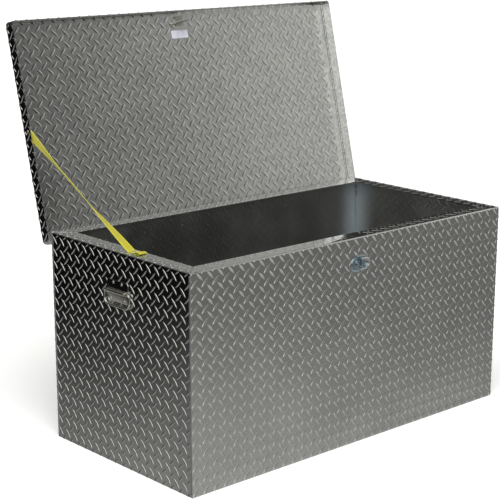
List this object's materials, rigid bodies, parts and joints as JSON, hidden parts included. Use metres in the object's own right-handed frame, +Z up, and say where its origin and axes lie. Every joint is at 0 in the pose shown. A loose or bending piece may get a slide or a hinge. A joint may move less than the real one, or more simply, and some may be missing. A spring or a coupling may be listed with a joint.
{
  "type": "truck tool box",
  "caption": "Bright tread-plate truck bed chest with a rear-hinged lid held open by a yellow webbing strap, a front turn lock and drop-bail end handles.",
  "frame": {"origin": "centre of the chest floor's underside, which is the face it stands on", "axes": "+X to the chest's right seen from the front, +Y to the back where the hinge is, +Z up"},
  "size_m": [1.2408, 0.8092, 1.1849],
  "materials": {
    "tread_plate": "bright rolled tread plate, polished, soft scratches",
    "weld": "rippled weld bead",
    "bright_steel": "bright steel",
    "rivet": "bright domed rivet",
    "handle_chrome": "bright plated steel",
    "lock_chrome": "chrome plated zinc, cool tint",
    "zinc_steel": "zinc plated",
    "webbing": "woven yellow webbing",
    "label": "pale printed sticker, blank"
  },
  "bodies": {
    "chest": {"front_panel": "tread_plate", "rear_panel": "tread_plate", "left_end_panel": "tread_plate", "right_end_panel": "tread_plate", "floor_panel": "tread_plate", "corner_weld_beads": "weld", "inside_corner_welds": "weld", "floor_weld_runs": "weld", "hinge_body_leaf": "bright_steel", "hinge_pin": "bright_steel", "hinge_body_rivets": "rivet", "left_handle_plate": "handle_chrome", "left_handle_rivets": "rivet", "right_handle_plate": "handle_chrome", "right_handle_rivets": "rivet", "lock_housing": "lock_chrome", "lock_nut": "zinc_steel", "strap_rim_rivet": "rivet", "strap": "webbing"},
    "lid": {"lid_skin": "tread_plate", "hinge_lid_leaf": "bright_steel", "hinge_lid_rivets": "rivet", "striker": "bright_steel", "striker_welds": "weld", "info_label": "label", "strap_lid_rivet": "rivet"},
    "left_bail": {"left_handle_bail": "handle_chrome"},
    "right_bail": {"right_handle_bail": "handle_chrome"},
    "lock_barrel": {"lock_core": "lock_chrome", "lock_key_plug": "lock_chrome", "lock_cam": "zinc_steel", "lock_cam_screw": "zinc_steel", "lock_pull_pin": "lock_chrome"},
    "lock_pull": {"lock_pull": "lock_chrome"}
  },
  "joints": [
    {"name": "lid_hinge", "type": "hinge", "parent": "chest", "child": "lid", "pos_m": [0, 0.30915, 0.5795], "axis": [1, 0, 0], "range_deg": [0, 103.7], "deforming": ["strap"]},
    {"name": "left_handle_swing", "type": "hinge", "parent": "chest", "child": "left_bail", "pos_m": [-0.615, 0, 0.4995], "axis": [0, 1, 0], "range_deg": [0, 90]},
    {"name": "right_handle_swing", "type": "hinge", "parent": "chest", "child": "right_bail", "pos_m": [0.615, 0, 0.4995], "axis": [0, -1, 0], "range_deg": [0, 90]},
    {"name": "lock_turn", "type": "hinge", "parent": "chest", "child": "lock_barrel", "pos_m": [0, -0.306, 0.534], "axis": [0, -1, 0], "range_deg": [0, 90]},
    {"name": "lock_pull_fold", "type": "hinge", "parent": "lock_barrel", "child": "lock_pull", "pos_m": [0.003, -0.3142, 0.534], "axis": [0, 0, -1], "range_deg": [0, 90]}
  ]
}
